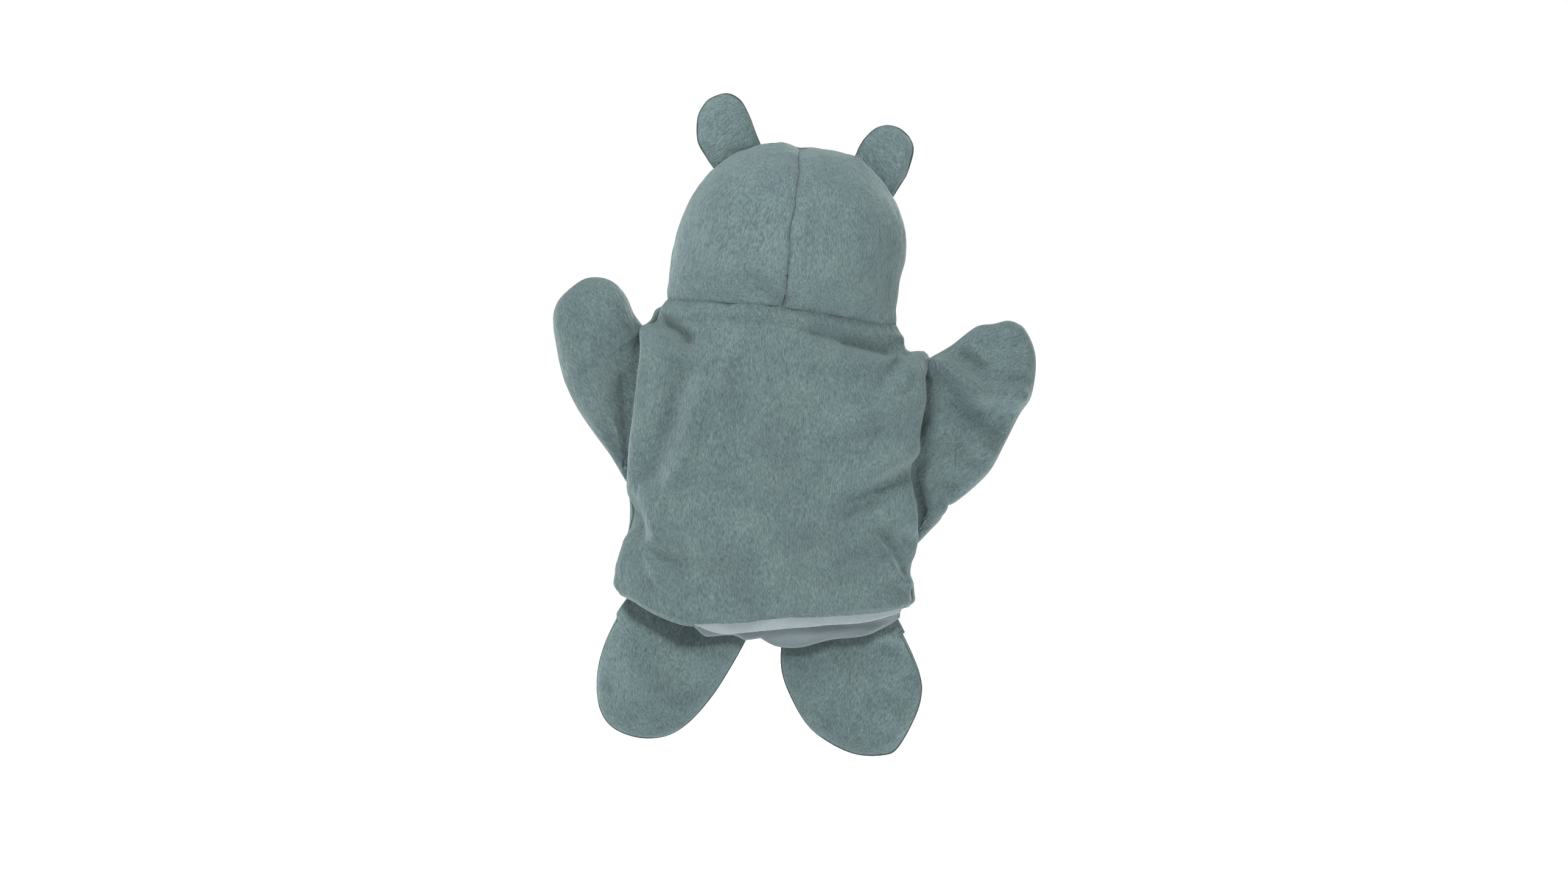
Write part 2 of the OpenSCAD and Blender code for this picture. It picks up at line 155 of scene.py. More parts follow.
BELLY_FOLDS = table("""
    100 880 240 800 5 -1.6, 900 900 780 800 5 -1.6, 300 900 700 900 5 -0.8, 120 400 250 620 7 -1,
    860 360 760 600 7 -1, 350 200 620 260 9 0.8, 300 100 420 20 6 -1, 680 120 600 20 6 -1, 420 550 600 500 10 0.7
""")
ARM_FOLDS = {
    "left": table("""
        228 802 296 699 6 -1, 546 654 705 585 7 -1, 455 892 637 802 7 0.6, 773 529 818 324 6 -1,
        364 483 591 324 8 0.7, 682 279 818 142 4 -1
    """),
    "right": table("""
        130 801 533 697 5.5 3.1, 533 697 860 700 6 2.4, 250 870 491 800 4.5 -1.5, 380 600 740 550 8 -1.4,
        220 413 420 455 6 -0.6, 450 450 648 404 6 -0.6, 275 530 550 549 7 1, 373 287 452 238 5 -0.5,
        196 316 314 219 5 1.2, 668 890 864 909 6 -0.9, 628 763 825 802 7 0.7, 108 297 216 122 3.5 -0.9
    """),
}
LEG_FOLDS = {
    "left": table("""
        81 363 127 237 4 -0.9, 173 142 479 79 8 -0.6, 234 711 540 648 9 0.4, 142 205 234 300 5 0.6,
        387 458 632 395 10 -0.4
    """),
    "right": table("""
        751 811 882 778 4 -1, 849 460 948 360 6 -0.9, 291 627 619 594 10 0.5, 389 259 685 193 9 -0.5
    """),
}
HEAD_FOLDS = table("""
    330 210 500 190 5 -0.5, 330 160 480 70 5 -0.6, 500 210 620 190 4 -0.3, 930 350 950 150 5 -0.4
""")
# Patches of painted shade on the pile: the same kind of rows, with a strength instead of a height.
PAINTED_SHADES = {
    "arm_right_back": table("""
        400 600 740 500 9 0.17, 360 430 500 400 5 0.13, 200 770 420 770 4 0.13, 320 560 400 500 6 0.12,
        400 270 460 300 4 0.12
    """),
    "arm_left_back": table("""
        757 600 776 250 9 0.17, 440 550 620 450 9 0.1, 270 600 286 740 6 0.07
    """),
    "leg_left_back": table("""
        250 160 450 150 9 0.14, 100 300 120 240 6 0.1
    """),
    "body_back_panel": table("""
        500 600 540 450 13 0.1, 700 250 860 250 9 0.12, 370 180 430 100 10 0.1, 150 200 220 120 7 0.08,
        120 700 150 500 6 0.1, 360 780 370 660 6 0.1, 800 330 860 420 5 0.1
    """),
    "face_panel": table("""
        780 200 930 450 7 0.08, 360 170 460 100 6 0.1
    """),
}


# ---- places, all from the CAD's boxes ----

def box_mm(node):
    low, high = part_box(node)
    return np.array(low) / MM, np.array(high) / MM


def spots(node, thousandths):
    """(x, z) points in mm from thousandths of a CAD node's box."""
    low, high = box_mm(node)
    f = np.array(thousandths, float) / 1000
    return np.stack([low[0] + f[:, 0] * (high[0] - low[0]), low[2] + f[:, 1] * (high[2] - low[2])], 1)


def creases(node, rows, share=1.0):
    """Folds in mm, from rows of a table, with a share of their heights."""
    ends = spots(node, [r[0:2] for r in rows]), spots(node, [r[2:4] for r in rows])
    return [(a, b, r[4] * FOLD_SPREAD, r[5] * FOLD_GAIN * share) for a, b, r in zip(*ends, rows)]


def side_seam(node, rows):
    """x of a side seam against height, both in mm, from (height, x) rows."""
    return graph(spots(node, [(x, z) for z, x in rows])[:, ::-1])


# ---- small maths ----

def mix(a, b, t):
    return a + (b - a) * t


def smooth(t):
    t = np.clip(t, 0, 1)
    return t * t * (3 - 2 * t)


def bell(v, width):
    return np.exp(-((v / width) ** 2))


def spow(v, p):
    return np.sign(v) * np.abs(v) ** p


def round_angles(n):
    return np.linspace(0, 2 * math.pi, n, endpoint=False)


def section_out(x, left, right, power):
    """How far out an oval section reaches at x, as a share of its depth."""
    share = np.clip(np.abs((x - (left + right) / 2) / ((right - left) / 2)), 0, 1)
    return (1 - share**power) ** (1 / power)


def line_through(points, n):
    """n evenly spaced points on a smooth curve through the given ones."""
    p = np.array(points, float)
    ring = np.vstack([2 * p[0] - p[1], p, 2 * p[-1] - p[-2]])
    t = np.linspace(0, 1, 16, endpoint=False)[:, None]
    bits = []
    for a, b, c, d in zip(ring[:-3], ring[1:-2], ring[2:-1], ring[3:]):
        bits.append(0.5 * (2 * b + (c - a) * t + (2 * a - 5 * b + 4 * c - d) * t**2 + (3 * b - a - 3 * c + d) * t**3))
    dense = np.vstack([*bits, ring[-2:-1]])
    along = np.r_[0, np.cumsum(np.linalg.norm(np.diff(dense, axis=0), axis=1))]
    want = np.linspace(0, along[-1], n)
    return np.stack([np.interp(want, along, dense[:, k]) for k in range(dense.shape[1])], 1)


def graph(points):
    """A smooth function through (input, value) points."""
    dense = line_through(points, 600)
    order = np.argsort(dense[:, 0])
    return lambda v: np.interp(v, dense[order, 0], dense[order, 1])


def hashed(i, j, k, seed):
    """A fixed value from -1 to 1 for each whole-numbered place."""
    h = (i * 73856093) ^ (j * 19349663) ^ (k * 83492791) ^ (seed * 1000003)
    h = ((h ^ (h >> 13)) * 1274126177) & 0x7FFFFFFF
    return ((h ^ (h >> 15)) & 0xFFFF) / 32767.5 - 1


def noise(p, size, seed=0):
    """Smooth noise from -1 to 1 at points in mm. size is its features' size in mm, or one size per axis."""
    q = np.asarray(p, float) / np.asarray(size, float)
    cell = np.floor(q).astype(np.int64)
    f = q - cell
    f = f * f * f * (f * (f * 6 - 15) + 10)
    total = np.zeros(q.shape[:-1])
    for corner in np.ndindex(2, 2, 2):
        w = np.ones(total.shape)
        for axis, d in enumerate(corner):
            w = w * (f[..., axis] if d else 1 - f[..., axis])
        total += w * hashed(*(cell[..., axis] + d for axis, d in enumerate(corner)), seed)
    return total


def fold_height(p, folds):
    """How far folds push the cloth out at points in mm: soft ridges and creases along short lines."""
    q, ridges, valleys = p[..., [0, 2]], np.zeros(p.shape[:-1]), np.zeros(p.shape[:-1])
    for a, b, width, height in folds:
        length = np.linalg.norm(b - a)
        along = (b - a) / length
        s = (q - a) @ along
        past = np.maximum(np.maximum(-s, s - length), 0)
        aside = (q - a) @ np.array([-along[1], along[0]])
        one = height * np.exp(-((aside / (0.62 * width)) ** 2) - (past / width) ** 2)
        ridges, valleys = np.maximum(ridges, one), np.minimum(valleys, one)
    return ridges + valleys


def painted_shade(p, node):
    """How much painted shade darkens the pile at points in mm, from 0 to 1."""
    return fold_height(p, creases(node, PAINTED_SHADES[node]) if node in PAINTED_SHADES else [])


# ---- cloth surfaces ----

def put(name, data):
    obj = bpy.data.objects.new(name, data)
    bpy.context.scene.collection.objects.link(obj)
    return obj


def grid_normals(g, outward):
    """Unit normals of a grid of points, on the side that outward is positive for."""
    n = np.cross(np.gradient(g, axis=0), np.gradient(g, axis=1))
    size = np.linalg.norm(n, axis=-1, keepdims=True)
    n = n / np.maximum(size, 1e-9)
    n[size[..., 0] < 1e-7] = 0
    if np.sum(n * outward(g)) < 0:
        n = -n
    lost = np.linalg.norm(n, axis=-1) < 0.5
    for i in np.flatnonzero(lost.any(axis=1)):
        near = n[min(i + 1, len(g) - 1)] if i < len(g) // 2 else n[i - 1]
        mean = near.sum(axis=0)
        n[i, lost[i]] = mean / max(np.linalg.norm(mean), 1e-9)
    return n


def nap_coordinates(p, tilt):
    """Where the pile's texture is read, in mm: turned to the way the pile lies, and bent so that it swirls."""
    cos, sin = math.cos(math.radians(tilt)), math.sin(math.radians(tilt))
    x, z = p[:, 0] * cos + p[:, 2] * sin, p[:, 2] * cos - p[:, 0] * sin
    bend = 7 * noise(p, 40, 5) + 1.2 * noise(p, 14, 6)
    return np.stack([x + bend, p[:, 1] + 2 * noise(p, 24, 7), z], 1)


def shell(name, look, grid, outward, thick, height=None, closed=False, seam=None, nap_tilt=0.0, level=None):
    """A cloth panel with real thickness. At each point of the grid, height is how far its outside is pushed out, in mm,
    and seam how much painted shade darkens it, from 0 to 1, mostly in the grooves of seams; its whole inside gets full
    painted shade. nap_tilt turns the pile's direction, in degrees. level is 1 where the panel may only be pushed
    sideways, as at the neck seam, where it meets another one end to end."""
    wide = np.concatenate([grid[:, -1:], grid, grid[:, :1]], 1) if closed else grid
    normal = grid_normals(wide, outward)
    if closed:
        normal = normal[:, 1:-1]
    if level is not None:
        normal[..., 2] *= 1 - level
        normal /= np.maximum(np.linalg.norm(normal, axis=-1, keepdims=True), 1e-6)
    outer = grid if height is None else grid + normal * height[..., None]
    inner = outer - normal * thick
    rows, cols = grid.shape[:2]
    n = rows * cols
    at = np.arange(n).reshape(rows, cols)
    across = np.roll(at, -1, axis=1) if closed else at[:, 1:]
    here = at if closed else at[:, :-1]
    quads = np.stack([here[:-1], across[:-1], across[1:], here[1:]], -1).reshape(-1, 4)
    i, j = rows // 2, cols // 2
    facing = np.cross(outer[i, j + 1] - outer[i, j], outer[i + 1, j] - outer[i, j])
    flipped = np.dot(facing, normal[i, j]) < 0
    if flipped:
        quads = quads[:, ::-1]
    faces = [quads, quads[:, ::-1] + n]
    edges = [(at[0], 1), (at[-1], -1)] if closed else [(np.r_[at[0], at[1:, -1], at[-1, -2::-1], at[-2:0:-1, 0]], 1)]
    for loop, turn in edges:
        nxt = np.roll(loop, -1)
        rim = np.stack([nxt, loop, loop + n, nxt + n], -1)
        faces.append(rim if (turn > 0) != flipped else rim[:, ::-1])
    verts = np.concatenate([outer.reshape(-1, 3), inner.reshape(-1, 3)])
    mesh = bpy.data.meshes.new(name)
    mesh.from_pydata((verts * MM).tolist(), [], np.concatenate(faces).tolist())
    nap = mesh.attributes.new("nap", "FLOAT_VECTOR", "POINT")
    nap.data.foreach_set("vector", nap_coordinates(verts, nap_tilt).astype(np.float32).ravel())
    # The seam attribute holds painted shade, and the inside of the cloth is given the most.
    shade = mesh.attributes.new("seam", "FLOAT", "POINT")
    near = np.zeros(2 * n) if seam is None else np.concatenate([seam.ravel(), np.ones(n)])
    shade.data.foreach_set("value", near.astype(np.float32))
    bm = bmesh.new()
    bm.from_mesh(mesh)
    bmesh.ops.remove_doubles(bm, verts=bm.verts, dist=0.01 * MM)
    bmesh.ops.dissolve_degenerate(bm, edges=bm.edges, dist=0.005 * MM)
    bm.to_mesh(mesh)
    bm.free()
    mesh.shade_smooth()
    return dress(put(name, mesh), look)


def dome(outline, centre, depth, side, edge, rows, y_mid):
    """One side of a stuffed leaf: rings from its centre to its outline. edge is its depth at the outline, and
    y_mid(xz) where its middle lies."""
    r = np.sin(np.linspace(0, math.pi / 2, rows + 1)) ** 0.9
    xz = centre + r[:, None, None] * (outline - centre)
    rise = np.clip(1 - r**2.2, 0, 1) ** 0.55
    y = ((depth * rise[:, None]) ** 4 + (edge[None, :] * r[:, None] ** 3.5) ** 4) ** 0.25
    return np.stack([xz[..., 0], y_mid(xz) + side * y, xz[..., 1]], -1)


def away_from(x, y, z):
    """Which way is out of a closed piece, seen from a point inside it."""
    return lambda p: p - np.array([x, y, z])


def edge_gap(grid):
    """Distance of each point of a dome's grid to its outline, in mm, in the plane of the outline."""
    return np.linalg.norm(grid[-1:, :, [0, 2]] - grid[:, :, [0, 2]], axis=-1)


def run_gaps(g):
    """Distance in mm along the cloth to the first column, the last column and the last row."""
    across = np.linalg.norm(np.diff(g, axis=1), axis=-1)
    run = np.concatenate([np.zeros((len(g), 1)), np.cumsum(across, axis=1)], 1)
    up = np.linalg.norm(np.diff(g, axis=0), axis=-1)
    climb = np.concatenate([np.zeros((1, g.shape[1])), np.cumsum(up, axis=0)])
    return run, run[:, -1:] - run, climb[-1:] - climb


def seam_dip(gap, depth, reach):
    """The groove of a seam, with the cloth puffed up a little beside it."""
    return -depth * bell(gap, reach) + 0.35 * bell(gap - 4.5, 3)


def pile_height(p, gap, seed, pucker=0.4):
    """Small unevenness of the plush: soft dents, clumps of pile, and puckers beside a seam."""
    h = 0.45 * noise(p, 22, seed) + 0.28 * noise(p, 9, seed + 1) + 0.13 * noise(p, (2.2, 2.2, 4.2), seed + 2)
    return h + pucker * noise(p, 6.5, seed + 3) * np.exp(-gap / 4.0)


def limb_height(p, gap, folds, seed, pucker):
    """An arm's or a leg's unevenness. It fades at the seam, so that the outline stays smooth."""
    uneven, folded = pile_height(p, gap, seed, pucker), fold_height(p, folds)
    return uneven * smooth(0.3 + gap / 6) + folded * smooth(gap / 8) + seam_dip(gap, 0.2, 1.2)


# ---- materials ----

def feed(tree, n, **values):
    """Sets a node's inputs, with _ for a space in their names: a socket is linked, anything else is stored."""
    for key, value in values.items():
        socket = n.inputs[key.replace("_", " ")]
        if isinstance(value, bpy.types.NodeSocket):
            tree.links.new(value, socket)
        else:
            socket.default_value = value


def node(tree, kind, settings=None, **values):
    n = tree.nodes.new(kind)
    for key, value in (settings or {}).items():
        setattr(n, key, value)
    feed(tree, n, **values)
    return n


def new_material(name):
    m = bpy.data.materials.new(name)
    m.use_nodes = True
    return m, m.node_tree, m.node_tree.nodes["Principled BSDF"]


def attribute(tree, name, output):
    return node(tree, "ShaderNodeAttribute", {"attribute_name": name}).outputs[output]


def object_place(tree):
    return node(tree, "ShaderNodeTexCoord").outputs["Object"]


def texture(tree, source, scale, detail, rough, stretch=(1, 1, 1)):
    """Noise read at a vector, with features of about 1 / scale of the vector's unit."""
    turn = node(tree, "ShaderNodeMapping", Vector=source, Scale=[scale / s for s in stretch])
    return node(tree, "ShaderNodeTexNoise", Vector=turn.outputs[0], Scale=1.0, Detail=detail,
                Roughness=rough).outputs["Fac"]


def ramp(tree, source, *stops):
    """Colours, or greys given as one number, at places from 0 to 1."""
    r = node(tree, "ShaderNodeValToRGB", Fac=source)
    while len(r.color_ramp.elements) < len(stops):
        r.color_ramp.elements.new(0.5)
    for e, (place, colour) in zip(r.color_ramp.elements, stops):
        e.position, e.color = place, (*np.broadcast_to(colour, 3), 1)
    return r.outputs["Color"]


def multiply(tree, first, *others):
    """Colours multiplied together."""
    for other in others:
        m = node(tree, "ShaderNodeMix", {"data_type": "RGBA", "blend_type": "MULTIPLY"})
        ends = {s.identifier: s for s in (*m.inputs, *m.outputs)}
        ends["Factor_Float"].default_value = 1.0
        tree.links.new(first, ends["A_Color"])
        tree.links.new(other, ends["B_Color"])
        first = ends["Result_Color"]
    return first


def maths(tree, operation, *values):
    n = node(tree, "ShaderNodeMath", {"operation": operation})
    for socket, value in zip(n.inputs, values):
        if isinstance(value, float):
            socket.default_value = value
        else:
            tree.links.new(value, socket)
    return n.outputs[0]


def bump(tree, height, strength, distance, **more):
    return node(tree, "ShaderNodeBump", Height=height, Strength=strength, Distance=distance, **more).outputs["Normal"]


def mix_shaders(tree, which, first, second, output):
    """Shows the first shader where which is 0, and the second where it is 1."""
    both = node(tree, "ShaderNodeMixShader")
    for source, socket in zip((which, first, second), both.inputs):
        tree.links.new(source, socket)
    tree.links.new(both.outputs[0], tree.nodes[output].inputs["Surface"])


def plush(name, tone):
    """Short pile: strands that lie along the nap, clumps, slow patches where the pile leans another way, and painted
    shade from the seam attribute.
    """
    m, tree, shader = new_material(name)
    nap = attribute(tree, "nap", "Vector")
    strands = texture(tree, nap, 2.2, 3, 0.62, (1, 1, 4.2))
    clumps = texture(tree, nap, 0.45, 2, 0.5, (1, 1, 2.2))
    patches = texture(tree, nap, 0.06, 2, 0.5)
    light = np.array([0.1055, 0.148, 0.148]) * tone
    colour = multiply(
        tree, ramp(tree, strands, (0.31, light * 0.62), (0.49, light * 0.96), (0.69, light * 1.32)),
        ramp(tree, clumps, (0.3, 0.9), (0.6, 1.0)),
        ramp(tree, patches, (0.32, (0.88, 0.9, 0.93)), (0.66, 1.05)),
        # painted shade: the seam attribute darkens the colour down to half
        ramp(tree, attribute(tree, "seam", "Fac"), (0.0, 1.0), (0.7, 0.76), (1.0, 0.5)))
    fine = bump(tree, strands, 0.6, 0.0008)
    feed(tree, shader, Base_Color=colour, Normal=bump(tree, clumps, 0.5, 0.0014, Normal=fine),
         Roughness=ramp(tree, clumps, (0.3, 0.95), (0.7, 0.8)), Specular_IOR_Level=0.15,
         Sheen_Weight=0.4, Sheen_Roughness=0.35, Sheen_Tint=(0.8, 0.93, 0.95, 1))
    return m


def knit(name, light, ribs, rough, sheen):
    """Fine knit: ribs every so many mm across, small loops along them, and a slow unevenness."""
    m, tree, shader = new_material(name)
    nap = attribute(tree, "nap", "Vector")
    split = node(tree, "ShaderNodeSeparateXYZ", Vector=nap)
    across, along = (maths(tree, "SINE", maths(tree, "MULTIPLY", split.outputs[axis], 2 * math.pi / pitch))
                     for axis, pitch in (("X", ribs), ("Z", ribs * 1.3)))
    loops = maths(tree, "ADD", across, maths(tree, "MULTIPLY", along, 0.5))
    colour = multiply(tree, ramp(tree, loops, (0.0, np.array(light) * 0.82), (1.0, light)),
                      ramp(tree, texture(tree, nap, 0.12, 3, 0.55), (0.3, 0.88), (0.7, 1.0)))
    feed(tree, shader, Base_Color=colour, Normal=bump(tree, loops, 0.35, 0.00025), Roughness=rough,
         Sheen_Weight=sheen, Sheen_Roughness=0.3)
    return m


def thread():
    m, tree, shader = new_material("thread")
    strands = texture(tree, object_place(tree), 900, 2, 0.5, (1, 1, 0.35))
    feed(tree, shader, Base_Color=ramp(tree, strands, (0.35, 0.008), (0.65, (0.03, 0.032, 0.036))),
         Normal=bump(tree, strands, 0.5, 0.0003), Roughness=0.45, Sheen_Weight=0.3)
    return m


def moulded(name, colour, rough, coat):
    """Moulded plastic with a faint unevenness, so that a highlight on it isn't perfect."""
    m, tree, shader = new_material(name)
    uneven = texture(tree, object_place(tree), 260, 3, 0.5)
    feed(tree, shader, Base_Color=ramp(tree, uneven, (0.3, np.array(colour) * 0.8), (0.7, colour)),
         Roughness=ramp(tree, uneven, (0.2, rough * 0.8), (0.8, rough * 1.3)), Coat_Weight=coat, Coat_Roughness=0.03)
    return m


# Each look is a material and the slot it stands for.
# The plush copies differ only in brightness, which is painted light: the head's, and the legs' and ears', brighter, the
# arms' a little darker than the body's.
PLUSH = plush("plush", 1.06), "plush"
PLUSH_HEAD = plush("plush_head", 1.16), "plush"
PLUSH_ARM = plush("plush_arm", 1.04), "plush"
PLUSH_LEG = plush("plush_leg", 1.22), "plush"
LINING = knit("lining", (0.125, 0.165, 0.178), 0.5, 0.6, 0.2), "lining"
BAND = knit("band", (0.27, 0.325, 0.34), 0.6, 0.5, 0.25), "binding"
THREAD = thread(), "thread"
EYE = moulded("eye", (0.012, 0.012, 0.014), 0.08, 0.6), "eye"
WASHER = moulded("washer", (0.75, 0.75, 0.72), 0.4, 0.0), "washer"


def dress(obj, look):
    material, slot = look
    obj.data.materials.clear()
    obj.data.materials.append(material)
    return obj


# ---- body ----

ROUND = 2.6      # power of the body's section: 2 is an ellipse, and more is boxier
ARM_SPAN = {"left": (46.0, 111.0), "right": (33.0, 111.0)}   # heights that each arm is sewn on between
MOUTH = 8.5      # half height of an arm's opening into the body
CLOTH = 1.7      # plush without its pile
KNIT = 0.6       # lining
NECK_TUCK = 1.0  # how far the body's top edge goes up inside the head's lower edge
INSET = 4.6      # how far the lining hangs inside the plush
LINING_TOP = 3.5     # how far below the neck seam the body's lining ends
HEM_ROLL = 1.6   # radius of the turned edge of the back lining
left_x, right_x = side_seam("body_back_panel", BODY_LEFT), side_seam("body_back_panel", BODY_RIGHT)
back_hem = graph(spots("body_back_panel", BACK_HEM))
lining_hem = graph(spots("body_back_panel", LINING_HEM))


def mouth(z, side):
    """Half height of the gap between front and back along a side seam: open where the arm joins."""
    low, high = ARM_SPAN[side]
    return MOUTH * smooth((z - low) / 9) * smooth((high - z) / 10)


def body_depth(z):
    chest = -box_mm("body_back_panel")[0][1] * 0.97
    return np.interp(z, [-20, 0, 30, 80, 108, NECK_Z], [18.5, 20, 22.5, chest, 22.6, 21.6])


def neck_seam(x):
    """Height of the neck seam: highest at the middle, with a small step there."""
    aside = np.abs(x + 3)
    return NECK_Z + 1.6 - 3.2 * (aside / 49) ** 1.2 + np.where(x > -3, -0.7, 0.0) * np.exp(-aside / 14)


def body_grid(side, low_edge, high_edge, inset, cols, rows):
    """One half of the body: side is 1 for the belly and -1 for the back."""
    a = np.linspace(0, math.pi, cols + 1)
    across = spow(np.cos(a), 2 / ROUND)
    out = np.abs(np.sin(a)) ** (2 / ROUND)
    x_rough = across * 60
    s = np.linspace(0, 1, rows + 1)[:, None]
    z = mix(low_edge(x_rough)[None, :], high_edge(x_rough)[None, :], s)
    left, right = left_x(z) + inset, right_x(z) - inset
    x = (left + right) / 2 + across[None, :] * (right - left) / 2
    z = mix(low_edge(x), high_edge(x), s)
    lip = np.where(across[None, :] < 0, mouth(z, "left"), mouth(z, "right"))
    lip = np.maximum(lip - inset * 0.6, 0)
    y = lip + (body_depth(z) - inset - lip) * out[None, :]
    return np.stack([x, side * y, z], -1)


def away_from_axis(g):
    return g * np.array([1, 1, 0])


def body_panel(name, node_name, side, hem, rows, seed):
    g = body_grid(side, hem, lambda x: neck_seam(x) + NECK_TUCK, 0.0, 190, 150)
    gap, neck = np.minimum(*run_gaps(g)[:2]), neck_seam(g[..., 0]) - g[..., 2]
    above = g[..., 2] - hem(g[..., 0])
    h = pile_height(g, np.minimum(gap, neck), seed) * smooth(above / 3)
    h = h + fold_height(g, creases(node_name, rows)) * smooth(0.35 + gap / 8)
    h = h + seam_dip(gap, 0.3, 1.5) + 0.9 * bell(gap - 6, 4) - 1.2 * np.exp(-np.clip(neck / 1.1, -1, 9) - 1)
    h = h + 0.9 * bell(neck - 4.2, 2) - 0.8 * bell(neck - 8.5, 2.2)
    h = h - 1.6 * bell(above, 1.6) + 0.5 * bell(above - 3.2, 2)
    # Painted shade: in the grooves of the side and neck seams, and in the patches listed for this panel.
    near = np.maximum.reduce([0.4 * bell(gap, 1.4), 0.5 * bell(neck, 0.8), painted_shade(g, node_name)])
    return shell(name, PLUSH, g, away_from_axis, CLOTH, h, seam=near, nap_tilt=-6 * side,
                 level=np.exp(-np.abs(neck) / 6))


def belly_hem(x):
    """The belly's hem is level, and meets the back's at the side seams."""
    return mix(0.3 + 0 * x, back_hem(x), smooth((np.abs(x - 2) - 46) / 13))


body_back = body_panel("body_back", "body_back_panel", -1, back_hem, BACK_FOLDS, 11)
body_front = body_panel("body_front", "body_front_panel", 1, belly_hem, BELLY_FOLDS, 31)


# ---- lining and hem band ----

def rear_lining_low(x):
    """The back lining hides behind the hem on the left and bulges out below it from there to the right."""
    return mix(back_hem(x) + 2.0, lining_hem(x) + HEM_ROLL, smooth((x + 27) / 8))


def rolled_edge(g):
    """A grid whose first row is a lower edge, with the cloth turned in there and going back up inside."""
    turn = np.linspace(0, math.pi, 8)[:-1]
    inward = np.r_[np.full(3, 2.0), 1 + np.cos(turn)][:, None] * HEM_ROLL * np.clip(-g[0, :, 1] / 8, 0, 1)
    up = np.r_[9, 6, 3, -HEM_ROLL * np.sin(turn)][:, None] + 0 * inward
    return np.concatenate([g[0] + np.stack([0 * up, inward, up], -1), g])


def below_hem(g):
    return np.clip(back_hem(g[..., 0]) - g[..., 2], 0, None)


def lining_half(name, side, low, seed, folds):
    g = body_grid(side, low, lambda x: neck_seam(x) - LINING_TOP, INSET, 96, 90)
    if side < 0:
        below = below_hem(g)
        bulge = np.sin(smooth((below - 3) / 8) * math.pi) * smooth((below - 3) / 2)
        g[..., 1] += 0.3 * below - 1.8 * bulge
        g = rolled_edge(g)
    below = below_hem(g)
    fold_in = np.clip(fold_height(g, folds), None, 0) * smooth(g[..., 2] / 20)
    wave = 0.5 * noise(g, 15, seed) * smooth((np.abs(below - 2) - 2) / 3)
    ripple = 0.5 * noise(g, 6, seed + 1) * smooth((below - 3) / 5)
    return shell(name, LINING, g, away_from_axis, KNIT, fold_in + wave + ripple)


lining_rear = lining_half("lining_rear", -1, rear_lining_low, 51, creases("body_back_panel", BACK_FOLDS))
lining_fore = lining_half("lining_fore", 1, lambda x: belly_hem(x) + 4.5, 61, creases("body_front_panel", BELLY_FOLDS))

LEAF_GAP = 0.45   # half the space between the hem band's two leaves


def hem_band_grid():
    """A folded strip inside the back hem: an outer leaf, the fold, and an inner leaf. It shows below the plush from the
    middle of the left half to the right end, and runs on above the hem to the left of that."""
    x = np.linspace(-56, 61, 150)
    shows = smooth((x + 33) / 22)
    top = back_hem(x) + mix(5.0, 1.5, shows)
    low = mix(back_hem(x) + 2.5, np.maximum(back_hem(x) - 3.6 * smooth((66 - x) / 24), lining_hem(x)), shows)
    turn = np.linspace(-math.pi / 2, math.pi / 2, 9)[1:-1]
    s = np.r_[np.linspace(0, 0.86, 8), 0.86 + 0.14 * np.cos(turn), np.linspace(0.86, 0.1, 7)][:, None]
    inward = np.r_[np.zeros(8), 1 + np.sin(turn), np.full(7, 2.0)][:, None] * LEAF_GAP
    out = section_out(x, left_x(0 * x), right_x(0 * x), ROUND)
    y = (-(body_depth(0) - 2.0) * out)[None, :] + inward
    return np.stack([np.broadcast_to(x, y.shape), y, mix(top, low, s)], -1)


def hem_band_out(g):
    """Away from the fold's inside, which is a little in from the outer leaf."""
    core = g[:1] + np.array([0, LEAF_GAP, 0])
    return (g - core) * np.array([0, 1, 0]) + np.array([0, 0, -0.2])


def band():
    g = hem_band_grid()
    uneven = 0.1 * noise(g, (1.1, 9, 9), 71) + 0.25 * noise(g, 8, 72)
    return shell("hem_band", BAND, g, hem_band_out, 0.3, uneven)


hem_band = band()


# ---- head ----

HEAD_DEEP = -box_mm("head_back_left_panel")[0][1]
SEAM_X = sum(b[0] for b in box_mm("face_panel")) / 2
CROWN_Z = box_mm("face_panel")[1][2] + 0.1
WIDEST_Z = 141   # height at which the head is deepest from front to back
head_left_x, head_right_x = side_seam("face_panel", HEAD_LEFT), side_seam("face_panel", HEAD_RIGHT)
crown = graph(spots("face_panel", CROWN))


def head_depth(z):
    above = HEAD_DEEP * np.sqrt(np.clip(1 - np.clip((z - WIDEST_Z) / (CROWN_Z - WIDEST_Z), 0, 1) ** 3.2, 0, 1))
    below = mix(HEAD_DEEP, body_depth(NECK_Z), smooth((WIDEST_Z - z) / (WIDEST_Z - NECK_Z)) ** 1.2)
    return np.where(z > WIDEST_Z, above, below)


def head_power(z):
    """The section's power: the body's at the neck seam, and rounder above."""
    return mix(ROUND, 2.3, smooth((z - NECK_Z) / 18))


def head_grid(side, start, end, cols, rows):
    """Part of the head: sections from the neck seam to the crown, each between two angles round its section, which
    may depend on the section."""
    level = mix(NECK_Z, CROWN_Z, np.sin(np.linspace(0, math.pi / 2, rows + 1)))[:, None]
    left, right, power = head_left_x(level), head_right_x(level), head_power(level)
    mid, half = (left + right) / 2, (right - left) / 2
    a = mix(start(level, mid, half, power), end(level, mid, half, power), np.linspace(0, 1, cols + 1)[None, :])
    x = mid + spow(np.cos(a), 2 / power) * half
    y = head_depth(level) * np.abs(np.sin(a)) ** (2 / power)
    share = (level - NECK_Z) / (CROWN_Z - NECK_Z)
    return np.stack([x, side * y, mix(neck_seam(x), crown(x), share)], -1)


